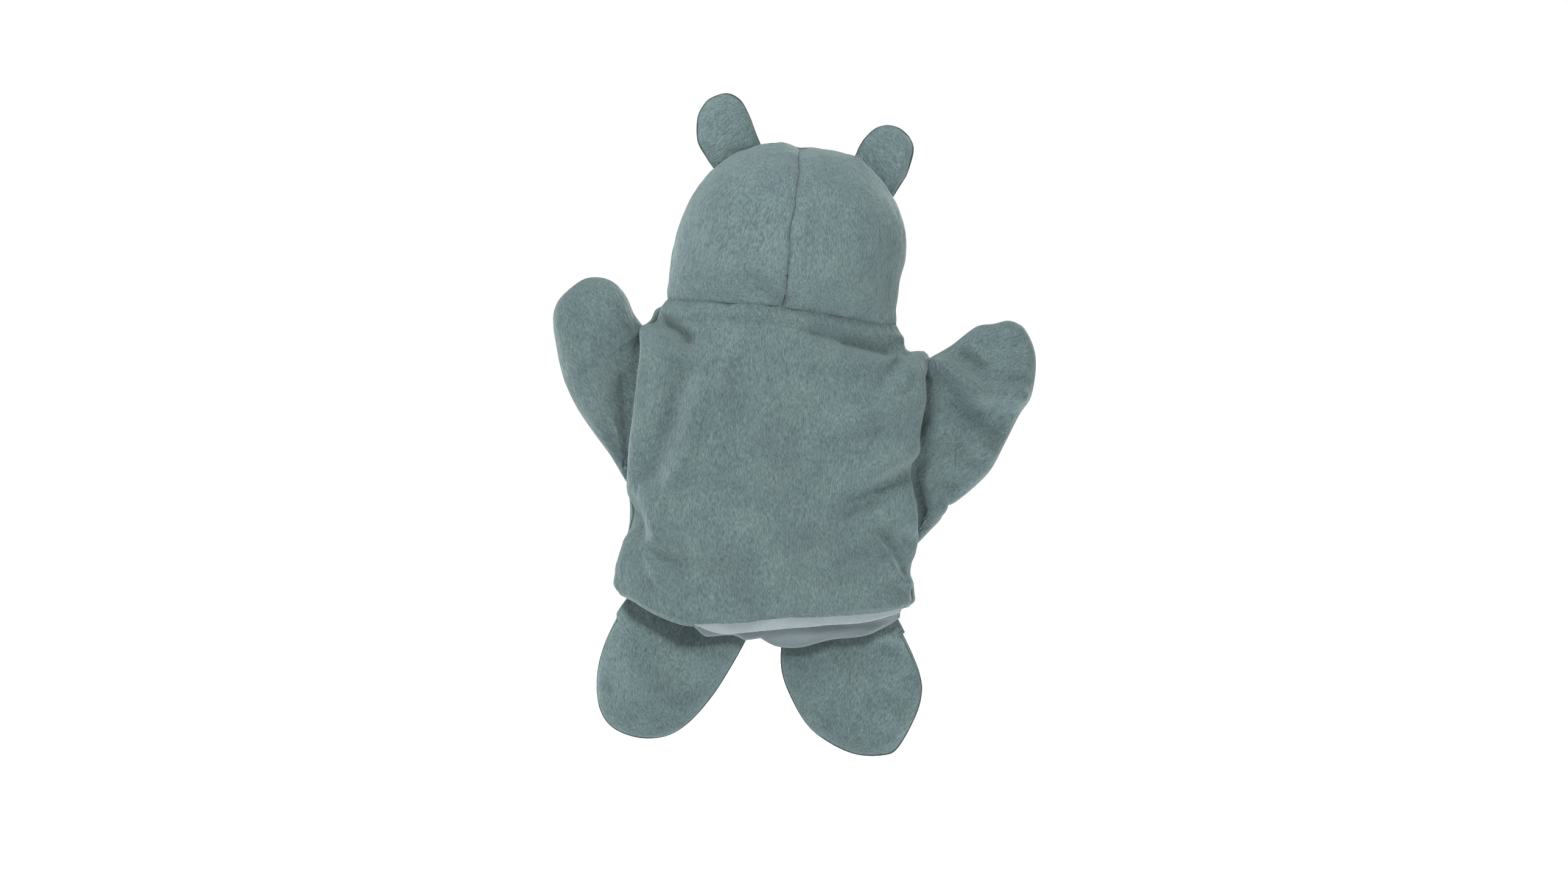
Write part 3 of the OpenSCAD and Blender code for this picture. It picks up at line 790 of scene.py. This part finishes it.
def at_centre(level, mid, half, power):
    """The angle at which a section reaches the slightly wavy seam down the back of the head."""
    wave = 0.4 * np.sin(level / 5.3) + 0.3 * np.sin(level / 2.9 + 1)
    share = np.clip((SEAM_X + wave - mid) / half, -1, 1)
    return np.arccos(spow(share, power / 2))


def at_side(turn):
    return lambda level, mid, half, power: 0 * level + turn


def head_height(g, gaps, seed, folds=()):
    h = pile_height(g, np.minimum.reduce(gaps), seed) + fold_height(g, folds)
    for one in gaps:
        h = h + seam_dip(one, 0.35, 0.8)
    return h


def from_head_axis(p):
    return (p - np.array([SEAM_X, 0, 150])) * np.array([1, 1, 0.6])


def head_back(name, turn, sign, seed):
    g = head_grid(-1, at_centre, at_side(turn), 84, 100)
    from_seam, from_side, from_crown = run_gaps(g)
    neck = g[..., 2] - neck_seam(g[..., 0])
    h = head_height(g, [np.minimum(from_side, from_crown), from_seam, neck], seed, creases("face_panel", HEAD_FOLDS))
    h = h + 0.5 * noise(g, (20, 20, 5), 91) * np.exp(-from_seam / 5)
    # Painted shade: in the grooves of the head's seams and the neck seam, and in the patches listed for the face panel.
    near = np.maximum.reduce([0.4 * bell(np.minimum.reduce([from_side, from_crown, from_seam]), 0.8),
                              0.5 * bell(neck, 0.8), painted_shade(g, "face_panel")])
    return shell(name, PLUSH_HEAD, g, from_head_axis, CLOTH, h, seam=near, nap_tilt=8 * sign, level=np.exp(-neck / 5))


def face():
    """The front of the head, with a dent round each eye."""
    g = head_grid(1, at_side(0.0), at_side(math.pi), 160, 100)
    gap, neck = np.minimum.reduce(run_gaps(g)), g[..., 2] - neck_seam(g[..., 0])
    h = head_height(g, [gap, neck], 121)
    for eye in ("eye_left", "eye_right"):
        x, _, z = sum(box_mm(eye)) / 2
        d = np.hypot(g[..., 0] - x, g[..., 2] - z)
        h = h - 0.3 * bell(d, 4) + 0.8 * bell(d - 6, 2.2)
    # Painted shade in the grooves of the face's seams and the neck seam.
    near = np.maximum(0.4 * bell(gap, 0.8), 0.5 * bell(neck, 0.8))
    return shell("face", PLUSH_HEAD, g, from_head_axis, CLOTH, h, seam=near, level=np.exp(-neck / 5))


head_left = head_back("head_left", math.pi, -1, 101)
head_right = head_back("head_right", 0.0, 1, 111)
head_face = face()


# ---- muzzle ----

MUZZLE_LOW, MUZZLE_HIGH = box_mm("muzzle_cover")
MUZZLE_X, _, MUZZLE_Z = (MUZZLE_LOW + MUZZLE_HIGH) / 2
MUZZLE_W, _, MUZZLE_H = (MUZZLE_HIGH - MUZZLE_LOW) / 2
MUZZLE_OUT = 18.5   # how far it stands out from the face


def face_y(x, z):
    return head_depth(z) * section_out(x, head_left_x(z), head_right_x(z), head_power(z))


def muzzle_y(x, z, r):
    """The muzzle's outside, a share r of the way to its edge: two soft cheeks, with a shallow dip between them."""
    rise = np.clip(1 - np.clip(r, 0, 1) ** 2.3, 0, 1) ** 0.5
    dip = 1.4 * bell(x - MUZZLE_X, 5) * rise
    return face_y(x, z) - 0.6 + MUZZLE_OUT * rise - dip


def on_muzzle(x, z):
    return muzzle_y(x, z, np.hypot((x - MUZZLE_X) / MUZZLE_W, (z - MUZZLE_Z) / MUZZLE_H))


def muzzle():
    a = round_angles(160)
    r = np.sin(np.linspace(0, math.pi / 2, 41))[:, None] ** 0.9
    x = MUZZLE_X + r * MUZZLE_W * spow(np.cos(a), 0.86)
    z = MUZZLE_Z + r * MUZZLE_H * spow(np.sin(a), 0.86)
    g = np.stack([x, muzzle_y(x, z, r), z], -1)
    gap = edge_gap(g)
    h = pile_height(g, gap, 131) * 0.8 + 0.25 * bell(gap - 4, 3)
    # The seam value is painted shade round the muzzle's edge.
    return shell("muzzle", PLUSH_HEAD, g, away_from(MUZZLE_X, 25, MUZZLE_Z), CLOTH, h, closed=True, seam=bell(gap, 1.0),
                 nap_tilt=70)


def stitched_patch(name, x0, z0, half_w, half_h, turn):
    """A satin-stitched oval on the muzzle: raised, with its threads side by side."""
    a = round_angles(48)
    r = np.linspace(0, 1, 12)[:, None]
    u, v = half_w * r * np.cos(a), half_h * r * np.sin(a)
    x, z = x0 + u * math.cos(turn) - v * math.sin(turn), z0 + u * math.sin(turn) + v * math.cos(turn)
    rise = 0.9 * np.sqrt(np.clip(1 - r**2, 0, 1)) + 0.3
    ridges = 0.12 * np.sin(u * 2 * math.pi / 0.9) * (1 - r**4)
    g = np.stack([x, on_muzzle(x, z) + rise + ridges, z], -1)
    return shell(name, THREAD, g, lambda p: np.array([0, 1.0, 0]) + 0 * p, 1.4, closed=True)


def stitched_line(name, points, radius):
    """Back stitches along a line: a row of short plump threads that meet end to end."""
    path = line_through(points, 160)
    run = np.r_[0, np.cumsum(np.linalg.norm(np.diff(path, axis=0), axis=1))]
    swell = radius * (0.55 + 0.45 * np.abs(np.sin(run * math.pi / 2.6)) ** 0.6)
    along = np.gradient(path, axis=0)
    along /= np.linalg.norm(along, axis=1, keepdims=True)
    up = np.array([0, 1.0, 0]) - along * along[:, 1:2]
    up /= np.linalg.norm(up, axis=1, keepdims=True)
    side = np.cross(along, up)
    a = round_angles(12)
    ring = up[:, None] * np.cos(a)[None, :, None] + side[:, None] * np.sin(a)[None, :, None]
    g = path[:, None] + ring * swell[:, None, None]
    return shell(name, THREAD, g, lambda p: p - path[:, None], radius * 0.5, closed=True)


def nostril(name, x, turn):
    low, high = box_mm("nostril_stitching")
    return stitched_patch(name, x, (low[2] + high[2]) / 2, 3.0, 2.1, turn)


def smile():
    low, high = box_mm("mouth_stitching")
    t = np.linspace(-1, 1, 9)
    x = (low[0] + high[0]) / 2 + t * (high[0] - low[0]) / 2
    z = low[2] + 0.6 + (high[2] - low[2] - 1.2) * t**2
    return stitched_line("mouth_line", np.stack([x, on_muzzle(x, z) + 0.35, z], 1), 0.75)


head_muzzle = muzzle()
nostril_left = nostril("nostril_left", box_mm("nostril_stitching")[0][0] + 2.6, 0.35)
nostril_right = nostril("nostril_right", box_mm("nostril_stitching")[1][0] - 2.6, -0.35)
mouth_line = smile()


# ---- neck funnel and finger pocket ----

def funnel():
    """The lining inside the neck: it narrows to the finger pocket, which ends blind inside the head."""
    low, high = box_mm("finger_pocket")
    x0, r0 = (low[0] + high[0]) / 2, (high[0] - low[0]) / 2 - 0.8
    left, right, top = left_x(NECK_Z), right_x(NECK_Z), high[2] - 9
    a = round_angles(96)

    def section(mid, w, d, z, power=1.0):
        return np.stack([mid + w * spow(np.cos(a), power), d * spow(np.sin(a), power), 0 * a + z], 1)

    rows = []
    for t in smooth(np.linspace(0, 1, 26)):
        w, d = mix((right - left) / 2 - 4.5, r0, t), mix(body_depth(NECK_Z) - 4.2, r0, t)
        mid, z = mix((right + left) / 2, x0, t), mix(NECK_Z - LINING_TOP, NECK_Z + 4, t)
        rows.append(section(mid, w, d, z, mix(2 / ROUND, 1.0, t)))
    for z in np.linspace(NECK_Z + 6, top, 24):
        rows.append(section(x0, r0, r0, z))
    for t in np.linspace(0.1, 1, 12) * math.pi / 2:
        rows.append(section(x0, r0 * math.cos(t), r0 * math.cos(t), top + 8 * math.sin(t)))
    g = np.array(rows)
    outside = lambda p: np.stack([p[..., 0] - x0, p[..., 1], 0 * p[..., 2] + 3], -1)
    return shell("finger_lining", LINING, g, outside, KNIT, 0.35 * noise(g, 8, 141), closed=True)


finger_lining = funnel()


# ---- arms ----

ARM_MID = {"left": np.array([-79.0, 92.0]), "right": np.array([79.0, 86.0])}
ARM_DEEP = 11.0
ARM_TUCK = 1.8    # how far an arm's base goes in under the body's side seams
ARM_SHADE = {"left": 0.45, "right": 0.2}   # how dark the painted shade on an arm is beside the body, where the body shades it


def arm_outline(side):
    """Closed outline of an arm, and its depth there: its free edge, then the seam line where it joins the body."""
    free = line_through(spots(f"arm_{side}_back", ARM_EDGE[side]), 190)
    seam_x = {"left": lambda z: left_x(z) + ARM_TUCK, "right": lambda z: np.maximum(right_x(z) - ARM_TUCK, 57.6)}[side]
    free[[0, -1], 0] = seam_x(free[[0, -1], 1])
    z = np.linspace(free[-1, 1], free[0, 1], 72)[1:-1]
    outline = np.concatenate([free, np.stack([seam_x(z), z], 1)])
    return outline, np.concatenate([np.zeros(len(free)), 1.1 * mouth(z, side)])


def arm_panel(name, side, face_side, folds, seed):
    outline, edge = arm_outline(side)
    mid = ARM_MID[side]
    g = dome(outline, mid, ARM_DEEP, face_side, edge, 56, lambda xz: 0.0)
    gap = edge_gap(g)
    base = left_x(g[..., 2]) - g[..., 0] if side == "left" else g[..., 0] - right_x(g[..., 2])
    # Painted shade: in the groove of the seam, in the patches listed for the rear, and beside the body, where the body
    # shades the arm.
    patches = painted_shade(g, f"arm_{side}_back") if face_side < 0 else 0 * gap
    near = np.maximum.reduce([0.3 * bell(gap, 1.2), patches, ARM_SHADE[side] * bell(np.clip(base, 0, None), 15)])
    return shell(name, PLUSH_ARM, g, away_from(mid[0], 0, mid[1]), CLOTH, limb_height(g, gap, folds, seed, 0.25),
                 closed=True, seam=near, nap_tilt=35 if side == "left" else -35)


def arm_lining(name, side, face_side, folds, seed):
    outline, edge = arm_outline(side)
    mid = ARM_MID[side]
    inner = mid + (outline - mid) * np.where(edge > 0, 1.0, 0.87)[:, None]
    g = dome(inner, mid, ARM_DEEP - 4.0, face_side, np.maximum(edge - 3.5, 0), 20, lambda xz: 0.0)
    h = 0.5 * noise(g, 11, seed) + np.clip(fold_height(g, folds), None, 0)
    return shell(name, LINING, g, away_from(mid[0], 0, mid[1]), KNIT, h, closed=True)


def arm(side, seed):
    folds, calm = (creases(f"arm_{side}_back", ARM_FOLDS[side], share) for share in (1.0, 0.6))
    return [arm_panel(f"arm_{side}_rear", side, -1, folds, seed),
            arm_panel(f"arm_{side}_fore", side, 1, calm, seed + 5),
            arm_lining(f"arm_{side}_inner_rear", side, -1, folds, seed + 9),
            arm_lining(f"arm_{side}_inner_fore", side, 1, calm, seed + 12)]


ARMS = {"left": arm("left", 151), "right": arm("right", 171)}


# ---- legs ----

LEG_MID = {"left": np.array([-36.0, -33.0]), "right": np.array([44.0, -33.0])}
LEG_DEEP = 8.3


def hem_y(x):
    """How far forward the belly's hem lies at a place across it."""
    return body_depth(0.0) * section_out(x, left_x(0.0), right_x(0.0), ROUND) - 0.8


def leg_mid_y(xz):
    """How far forward a leg lies: behind the belly's hem at its top, and on its hinge lower down."""
    top = np.clip(hem_y(xz[..., 0]) - 5 * smooth((xz[..., 1] + 6) / 7), 6, None)
    return mix(top, LEG_Y, smooth(-xz[..., 1] / 26))


def leg_panel(name, side, face_side, share, seed):
    """The rear one is darker behind the lining, where little light comes."""
    node_name = f"leg_{side}_back"
    free = line_through(spots(node_name, LEG_EDGE[side]), 200)
    outline = np.concatenate([free, np.linspace(free[-1], free[0], 60)[1:-1]])
    mid = LEG_MID[side]
    g = dome(outline, mid, LEG_DEEP, face_side, np.full(len(outline), 0.4), 56, leg_mid_y)
    near = 0 * g[..., 2]
    if face_side < 0:
        # Painted shade below the lining's edge, and in the patches listed for the rear.
        under = 1.4 * smooth((g[..., 2] - lining_hem(g[..., 0]) + 7.5) / 5)
        near = np.maximum(np.minimum(under, 1), painted_shade(g, node_name))
    h = limb_height(g, edge_gap(g), creases(node_name, LEG_FOLDS[side], share), seed, 0.15)
    return shell(name, PLUSH_LEG, g, away_from(mid[0], LEG_Y, mid[1]), CLOTH, h, closed=True, seam=near,
                 nap_tilt=10 if side == "left" else -4)


def leg(side, seed):
    return [leg_panel(f"leg_{side}_rear", side, -1, 1.0, seed), leg_panel(f"leg_{side}_fore", side, 1, 0.3, seed + 5)]


LEGS = {"left": leg("left", 201), "right": leg("right", 221)}


# ---- ears ----

EAR_DEEP = 4.6
EAR_SINK = 5.0    # how far an ear's base goes into the head
EAR_CLOTH = 1.1


def ear_line(side):
    """The middle of the line where an ear meets the head, and the way out along the ear."""
    ends = spots(f"ear_{side}_back", [EAR_EDGE[side][0], EAR_EDGE[side][-1]])
    along = (ends[1] - ends[0]) / np.linalg.norm(ends[1] - ends[0])
    out = np.array([-along[1], along[0]])
    return ends.mean(axis=0), out if out[1] > 0 else -out


def ear_panel(name, side, face_side, deep, seed):
    mid, out = ear_line(side)
    free = spots(f"ear_{side}_back", EAR_EDGE[side])
    free = line_through(np.vstack([free[0] - EAR_SINK * out, free, free[-1] - EAR_SINK * out]), 130)
    outline = np.concatenate([free, np.linspace(free[-1], free[0], 34)[1:-1]])
    centre = mid + out * 12
    y_mid = box_mm(f"ear_{side}_back")[1][1]
    edge = np.concatenate([np.full(130, 0.3), np.full(32, 1.5)])
    g = dome(outline, centre, deep, face_side, edge, 34, lambda xz: y_mid)
    gap = edge_gap(g)
    h = 0.6 * pile_height(g, gap, seed) + seam_dip(gap, 0.15, 1.0)
    # The seam value is painted shade along the ear's seam.
    return shell(name, PLUSH_LEG, g, away_from(centre[0], y_mid, centre[1]), EAR_CLOTH, h, closed=True,
                 seam=0.4 * bell(gap, 0.9), nap_tilt=-38 if side == "left" else 38)


def ear(side, seed):
    return [ear_panel(f"ear_{side}_rear", side, -1, EAR_DEEP, seed),
            ear_panel(f"ear_{side}_fore", side, 1, EAR_DEEP * 0.7, seed + 4)]


EARS = {"left": ear("left", 241), "right": ear("right", 251)}


# ---- what moves with what, and which CAD parts each piece hides ----


for piece in (body_back, body_front, lining_rear, lining_fore):
    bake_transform(piece)
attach(hem_band, "torso")
for piece in (head_left, head_right, head_face, head_muzzle, nostril_left, nostril_right, mouth_line, finger_lining):
    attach(piece, "head")
for side, sign in SIDES:
    for piece in ARMS[side]:
        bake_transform(piece)
    for piece in LEGS[side]:
        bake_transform(piece)
    for piece in EARS[side]:
        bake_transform(piece)

for piece, *nodes in (
    (body_back, "body_back_panel"), (body_front, "body_front_panel"),
    (lining_rear, "lining_back"), (lining_fore, "lining_front"), (hem_band, "hem_binding"),
    (head_left, "head_back_left_panel"), (head_right, "head_back_right_panel"),
    (head_face, "face_panel", "head_stuffing"), (head_muzzle, "muzzle_cover", "muzzle_stuffing"),
    (nostril_left, "nostril_stitching"), (mouth_line, "mouth_stitching"),
    (finger_lining, "finger_pocket", "neck_lining"),
):
    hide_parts(*nodes)
for side, _ in SIDES:
    for piece, end in zip(ARMS[side], ("back", "front", "lining_back", "lining_front")):
        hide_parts(f"arm_{side}_{end}")
    for kind, (rear, fore), filling in (("leg", LEGS[side], "stuffing"), ("ear", EARS[side], "padding")):
        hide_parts(f"{kind}_{side}_back", f"{kind}_{side}_{filling}")
        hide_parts(f"{kind}_{side}_front")
    dress(frame["nodes"][f"eye_{side}"], EYE)
    dress(frame["nodes"][f"eye_washer_{side}"], WASHER)


# ---- stage, lights and camera ----

PAPER = (0.93, 0.935, 0.94)
PAPER_GLOW = 0.72       # lights the floor up to the white round it, so that no horizon shows
SURROUND_LIGHT = 0.34   # how strongly the white surroundings light the puppet
ROLL = 6.5              # the puppet leans this much to the right in the picture, in degrees
VIEW_WIDTH = 0.6655     # what the picture spans at the puppet, in metres
VIEW_SHIFT = Vector((0.0002, 0, -0.0056))   # from the puppet's middle to the picture's
BACK_Y = -0.006         # the depth at which the picture has that width
LENS = 100.0
SENSOR = 36.0
MIDDLE = (cad_low + cad_high) / 2


def stage():
    """A pale floor at the puppet's lowest point, which can be seen through from below."""
    mesh = bpy.data.meshes.new("floor")
    z, half = cad_low[2] - 0.001, 6.0
    mesh.from_pydata([(-half, -half, z), (half, -half, z), (half, half, z), (-half, half, z)], [], [(0, 1, 2, 3)])
    floor = put("floor", mesh)
    paper, tree, shader = new_material("stage")
    uneven = texture(tree, object_place(tree), 6, 2, 0.5)
    feed(tree, shader, Base_Color=ramp(tree, uneven, (0.3, np.array(PAPER) * 0.985), (0.7, PAPER)), Roughness=0.9,
         Emission_Color=(1, 1, 1, 1), Emission_Strength=PAPER_GLOW)
    under = node(tree, "ShaderNodeNewGeometry").outputs["Backfacing"]
    clear = node(tree, "ShaderNodeBsdfTransparent").outputs[0]
    mix_shaders(tree, under, shader.outputs[0], clear, "Material Output")
    floor.data.materials.append(paper)


def light(name, offset, size, power):
    data = bpy.data.lights.new(name, "AREA")
    data.shape, data.size, data.energy = "DISK", size, power
    lamp = put(name, data)
    lamp.location = MIDDLE + Vector(offset)
    lamp.rotation_mode = "QUATERNION"
    lamp.rotation_quaternion = (MIDDLE - lamp.location).to_track_quat("-Z", "Y")


def studio():
    """White surroundings that light the puppet less than they show, one large key light, and weaker ones in front."""
    scene = bpy.context.scene
    scene.view_settings.view_transform = "Standard"
    scene.world = bpy.data.worlds.new("studio")
    scene.world.use_nodes = True
    tree = scene.world.node_tree
    seen = node(tree, "ShaderNodeLightPath").outputs["Is Camera Ray"]
    shows = node(tree, "ShaderNodeBackground", Color=(1, 1, 1, 1), Strength=1.0)
    lights = tree.nodes["Background"]
    feed(tree, lights, Color=(1, 1, 1, 1), Strength=SURROUND_LIGHT)
    mix_shaders(tree, seen, lights.outputs[0], shows.outputs[0], "World Output")
    light("key", (-0.55, -0.6, 1.3), 0.55, 26.5)
    light("fill", (0.9, -1.0, 0.2), 1.0, 4)
    light("front", (0.5, 1.2, 0.8), 0.7, 18)


def camera():
    data = bpy.data.cameras.new("camera")
    data.lens, data.sensor_width = LENS, SENSOR
    data.clip_start, data.clip_end = 0.05, 50
    cam = put("camera", data)
    aim = MIDDLE + VIEW_SHIFT
    aim.y = BACK_Y
    cam.location = aim - Vector((0, VIEW_WIDTH * LENS / SENSOR, 0))
    cam.rotation_euler = (math.pi / 2, math.radians(-ROLL), 0)
    cam.rotation_mode = "XYZ"
    bpy.context.scene.camera = cam


stage()
studio()
camera()
